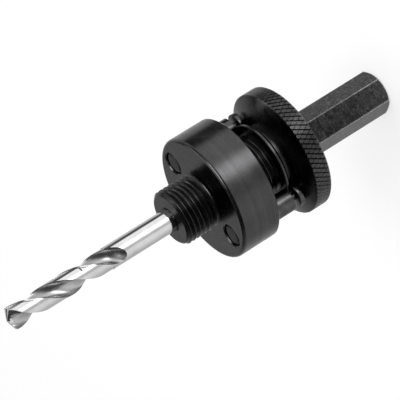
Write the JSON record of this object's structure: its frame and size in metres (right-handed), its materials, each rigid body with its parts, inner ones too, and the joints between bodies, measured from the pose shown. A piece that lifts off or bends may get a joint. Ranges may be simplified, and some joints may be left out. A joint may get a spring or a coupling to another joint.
{
  "type": "hole saw arbor",
  "caption": "Hole saw arbor with a hexagonal shank, a knurled nut that pushes sliding drive pins through a drum, a threaded nose and a twist pilot drill.",
  "frame": {"origin": "centre of the flat end of the hexagonal shank, on which the part stands", "axes": "+Z along the arbor's axis, from the shank to the drill tip; X through the centres of both drive pins; the grub screw is on the -Y side"},
  "size_m": [0.0358, 0.0358, 0.1226],
  "materials": {
    "blackened_steel": "black oxide over turned steel",
    "blackened_nut_steel": "black oxide over knurled steel",
    "pin_steel": "ground, lightly oiled",
    "ground_drill_steel": "bright ground",
    "screw_steel": "black oxide"
  },
  "bodies": {
    "arbor": {"arbor_body": "blackened_steel", "pilot_drill": "ground_drill_steel", "pilot_grub_screw": "screw_steel"},
    "pins": {"drive_pin_a": "pin_steel", "drive_pin_b": "pin_steel"},
    "nut": {"knurled_nut": "blackened_nut_steel"}
  },
  "joints": [
    {"name": "pin_advance", "type": "slide", "parent": "arbor", "child": "pins", "axis": [0, 0, 1], "range_m": [0, 0.00706]},
    {"name": "nut_turn", "type": "hinge", "parent": "pins", "child": "nut", "pos_m": [0, 0, 0.034], "axis": [0, 0, 1], "range_deg": [0, 1800]}
  ],
  "couplings": [
    {"joint": "pin_advance", "follows": "nut_turn", "m_per_rad": 0.00022458}
  ]
}
